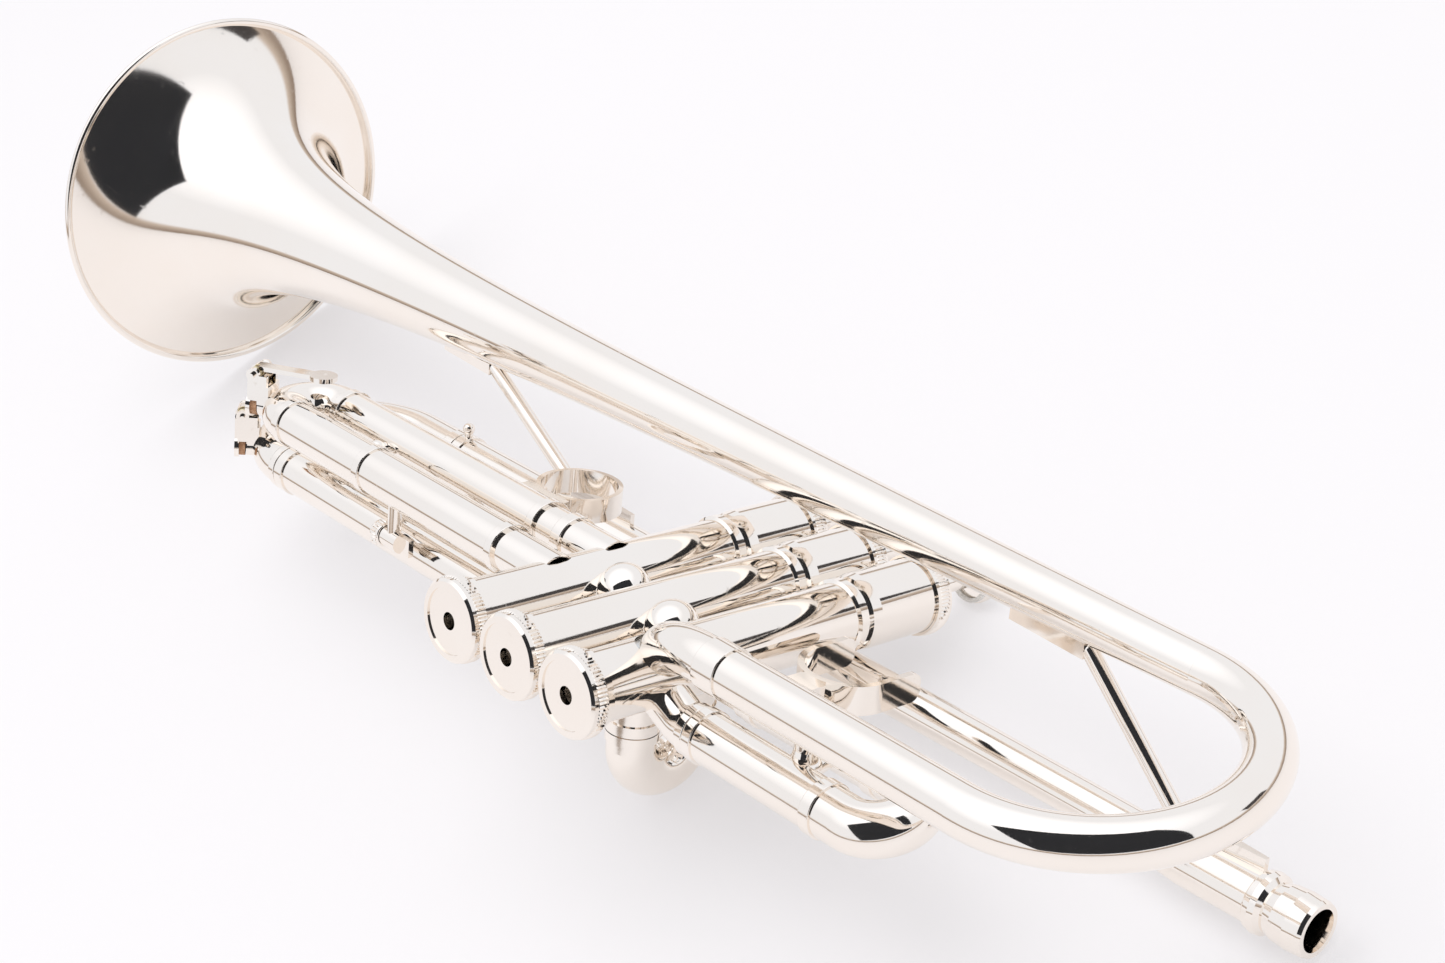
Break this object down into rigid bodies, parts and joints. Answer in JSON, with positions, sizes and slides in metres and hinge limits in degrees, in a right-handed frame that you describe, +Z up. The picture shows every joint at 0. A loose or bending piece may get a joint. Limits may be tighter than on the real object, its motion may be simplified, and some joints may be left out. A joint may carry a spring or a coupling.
{
  "type": "trumpet",
  "caption": "Silver-plated B-flat trumpet lying on its side: flared bell, rear bow, leadpipe, piston valves and drawing slides with water keys.",
  "frame": {"origin": "on the floor plane, under the middle of the bounding box of the trumpet lying at rest", "axes": "+X toward the bell, level; +Z up from the floor; the player's left side faces up"},
  "size_m": [0.4878, 0.1682, 0.123],
  "materials": {
    "silver_plate": "bright polished silver plate",
    "cork": "natural cork",
    "spring_steel": "drawn spring wire",
    "piston_metal": "fine ground nickel alloy",
    "guide_brass": "turned brass"
  },
  "bodies": {
    "horn": {"bell_flare": "silver_plate", "bell_stem": "silver_plate", "bell_rim_bead": "silver_plate", "bell_bow": "silver_plate", "tail_elbow": "silver_plate", "leadpipe": "silver_plate", "mouthpiece_receiver": "silver_plate", "rear_brace": "silver_plate", "front_brace": "silver_plate", "upper_slide_sleeve": "silver_plate", "lower_slide_sleeve": "silver_plate", "valve3_elbow": "silver_plate", "cross_knuckle_12": "silver_plate", "cross_knuckle_23": "silver_plate", "slide3_lower_sleeve": "silver_plate", "slide3_upper_tube": "silver_plate", "stop_bracket": "silver_plate", "slide1_lower_tube": "silver_plate", "slide1_upper_tube": "silver_plate", "slide2_lower_sleeve": "silver_plate", "slide2_upper_sleeve": "silver_plate", "casing_1": "silver_plate", "bottom_cap_1": "silver_plate", "top_cap_1": "silver_plate", "valve_guide_1": "guide_brass", "valve_spring_1": "spring_steel", "casing_2": "silver_plate", "bottom_cap_2": "silver_plate", "top_cap_2": "silver_plate", "valve_guide_2": "guide_brass", "valve_spring_2": "spring_steel", "casing_3": "silver_plate", "bottom_cap_3": "silver_plate", "top_cap_3": "silver_plate", "valve_guide_3": "guide_brass", "valve_spring_3": "spring_steel"},
    "valve_1": {"piston_1": "piston_metal", "finger_button_1": "silver_plate"},
    "valve_2": {"piston_2": "piston_metal", "finger_button_2": "silver_plate"},
    "valve_3": {"piston_3": "piston_metal", "finger_button_3": "silver_plate"},
    "main_slide": {"main_crook": "silver_plate", "main_crook_brace": "silver_plate", "main_key_spring": "spring_steel"},
    "main_water_key": {"main_key_lever": "silver_plate", "main_key_cork": "cork"},
    "slide_3": {"slide3_crook": "silver_plate", "slide3_upper_sleeve": "silver_plate", "finger_ring": "silver_plate", "slide3_key_spring": "spring_steel"},
    "slide_3_water_key": {"slide3_key_lever": "silver_plate", "slide3_key_cork": "cork"},
    "slide_1": {"slide1_crook": "silver_plate", "slide1_lower_sleeve": "silver_plate", "slide1_upper_sleeve": "silver_plate", "slide1_knob": "silver_plate", "thumb_saddle": "silver_plate"},
    "slide_2": {"slide2_crook": "silver_plate"},
    "stop_screw": {"thumb_screw": "silver_plate"}
  },
  "joints": [
    {"name": "valve_1_press", "type": "slide", "parent": "horn", "child": "valve_1", "axis": [-0.0123, 0.8893, 0.4572], "range_m": [0, 0.0165], "stiffness_N_per_m": 70, "springref_m": -0.03, "deforming": ["valve_spring_1"]},
    {"name": "valve_2_press", "type": "slide", "parent": "horn", "child": "valve_2", "axis": [-0.0123, 0.8893, 0.4572], "range_m": [0, 0.0165], "stiffness_N_per_m": 70, "springref_m": -0.03, "deforming": ["valve_spring_2"]},
    {"name": "valve_3_press", "type": "slide", "parent": "horn", "child": "valve_3", "axis": [-0.0123, 0.8893, 0.4572], "range_m": [0, 0.0165], "stiffness_N_per_m": 70, "springref_m": -0.03, "deforming": ["valve_spring_3"]},
    {"name": "main_slide_draw", "type": "slide", "parent": "horn", "child": "main_slide", "axis": [0.9996, 0, 0.0269], "range_m": [0, 0.045]},
    {"name": "slide_3_draw", "type": "slide", "parent": "horn", "child": "slide_3", "axis": [0.9996, 0, 0.0269], "range_m": [0, 0.03]},
    {"name": "slide_1_draw", "type": "slide", "parent": "horn", "child": "slide_1", "axis": [-0.9996, 0, -0.0269], "range_m": [0, 0.018]},
    {"name": "slide_2_draw", "type": "slide", "parent": "horn", "child": "slide_2", "axis": [0.0239, 0.4574, -0.8889], "range_m": [0, 0.01]},
    {"name": "main_water_key_lift", "type": "hinge", "parent": "main_slide", "child": "main_water_key", "pos_m": [0.13058, 0.04555, 0.05429], "axis": [0.8259, -0.5101, -0.2402], "range_deg": [0, 11], "stiffness_Nm_per_rad": 0.03, "springref_deg": -45.84, "deforming": ["main_key_spring"]},
    {"name": "slide_3_water_key_lift", "type": "hinge", "parent": "slide_3", "child": "slide_3_water_key", "pos_m": [0.10977, 0.04256, 0.07637], "axis": [0.5835, -0.7284, -0.3591], "range_deg": [0, 11], "stiffness_Nm_per_rad": 0.03, "springref_deg": -45.84, "deforming": ["slide3_key_spring"]},
    {"name": "stop_screw_turn", "type": "hinge", "parent": "horn", "child": "stop_screw", "pos_m": [0.0369, 0.05459, 0.04994], "axis": [0.9996, 0, 0.0269], "range_deg": [0, 720]}
  ]
}
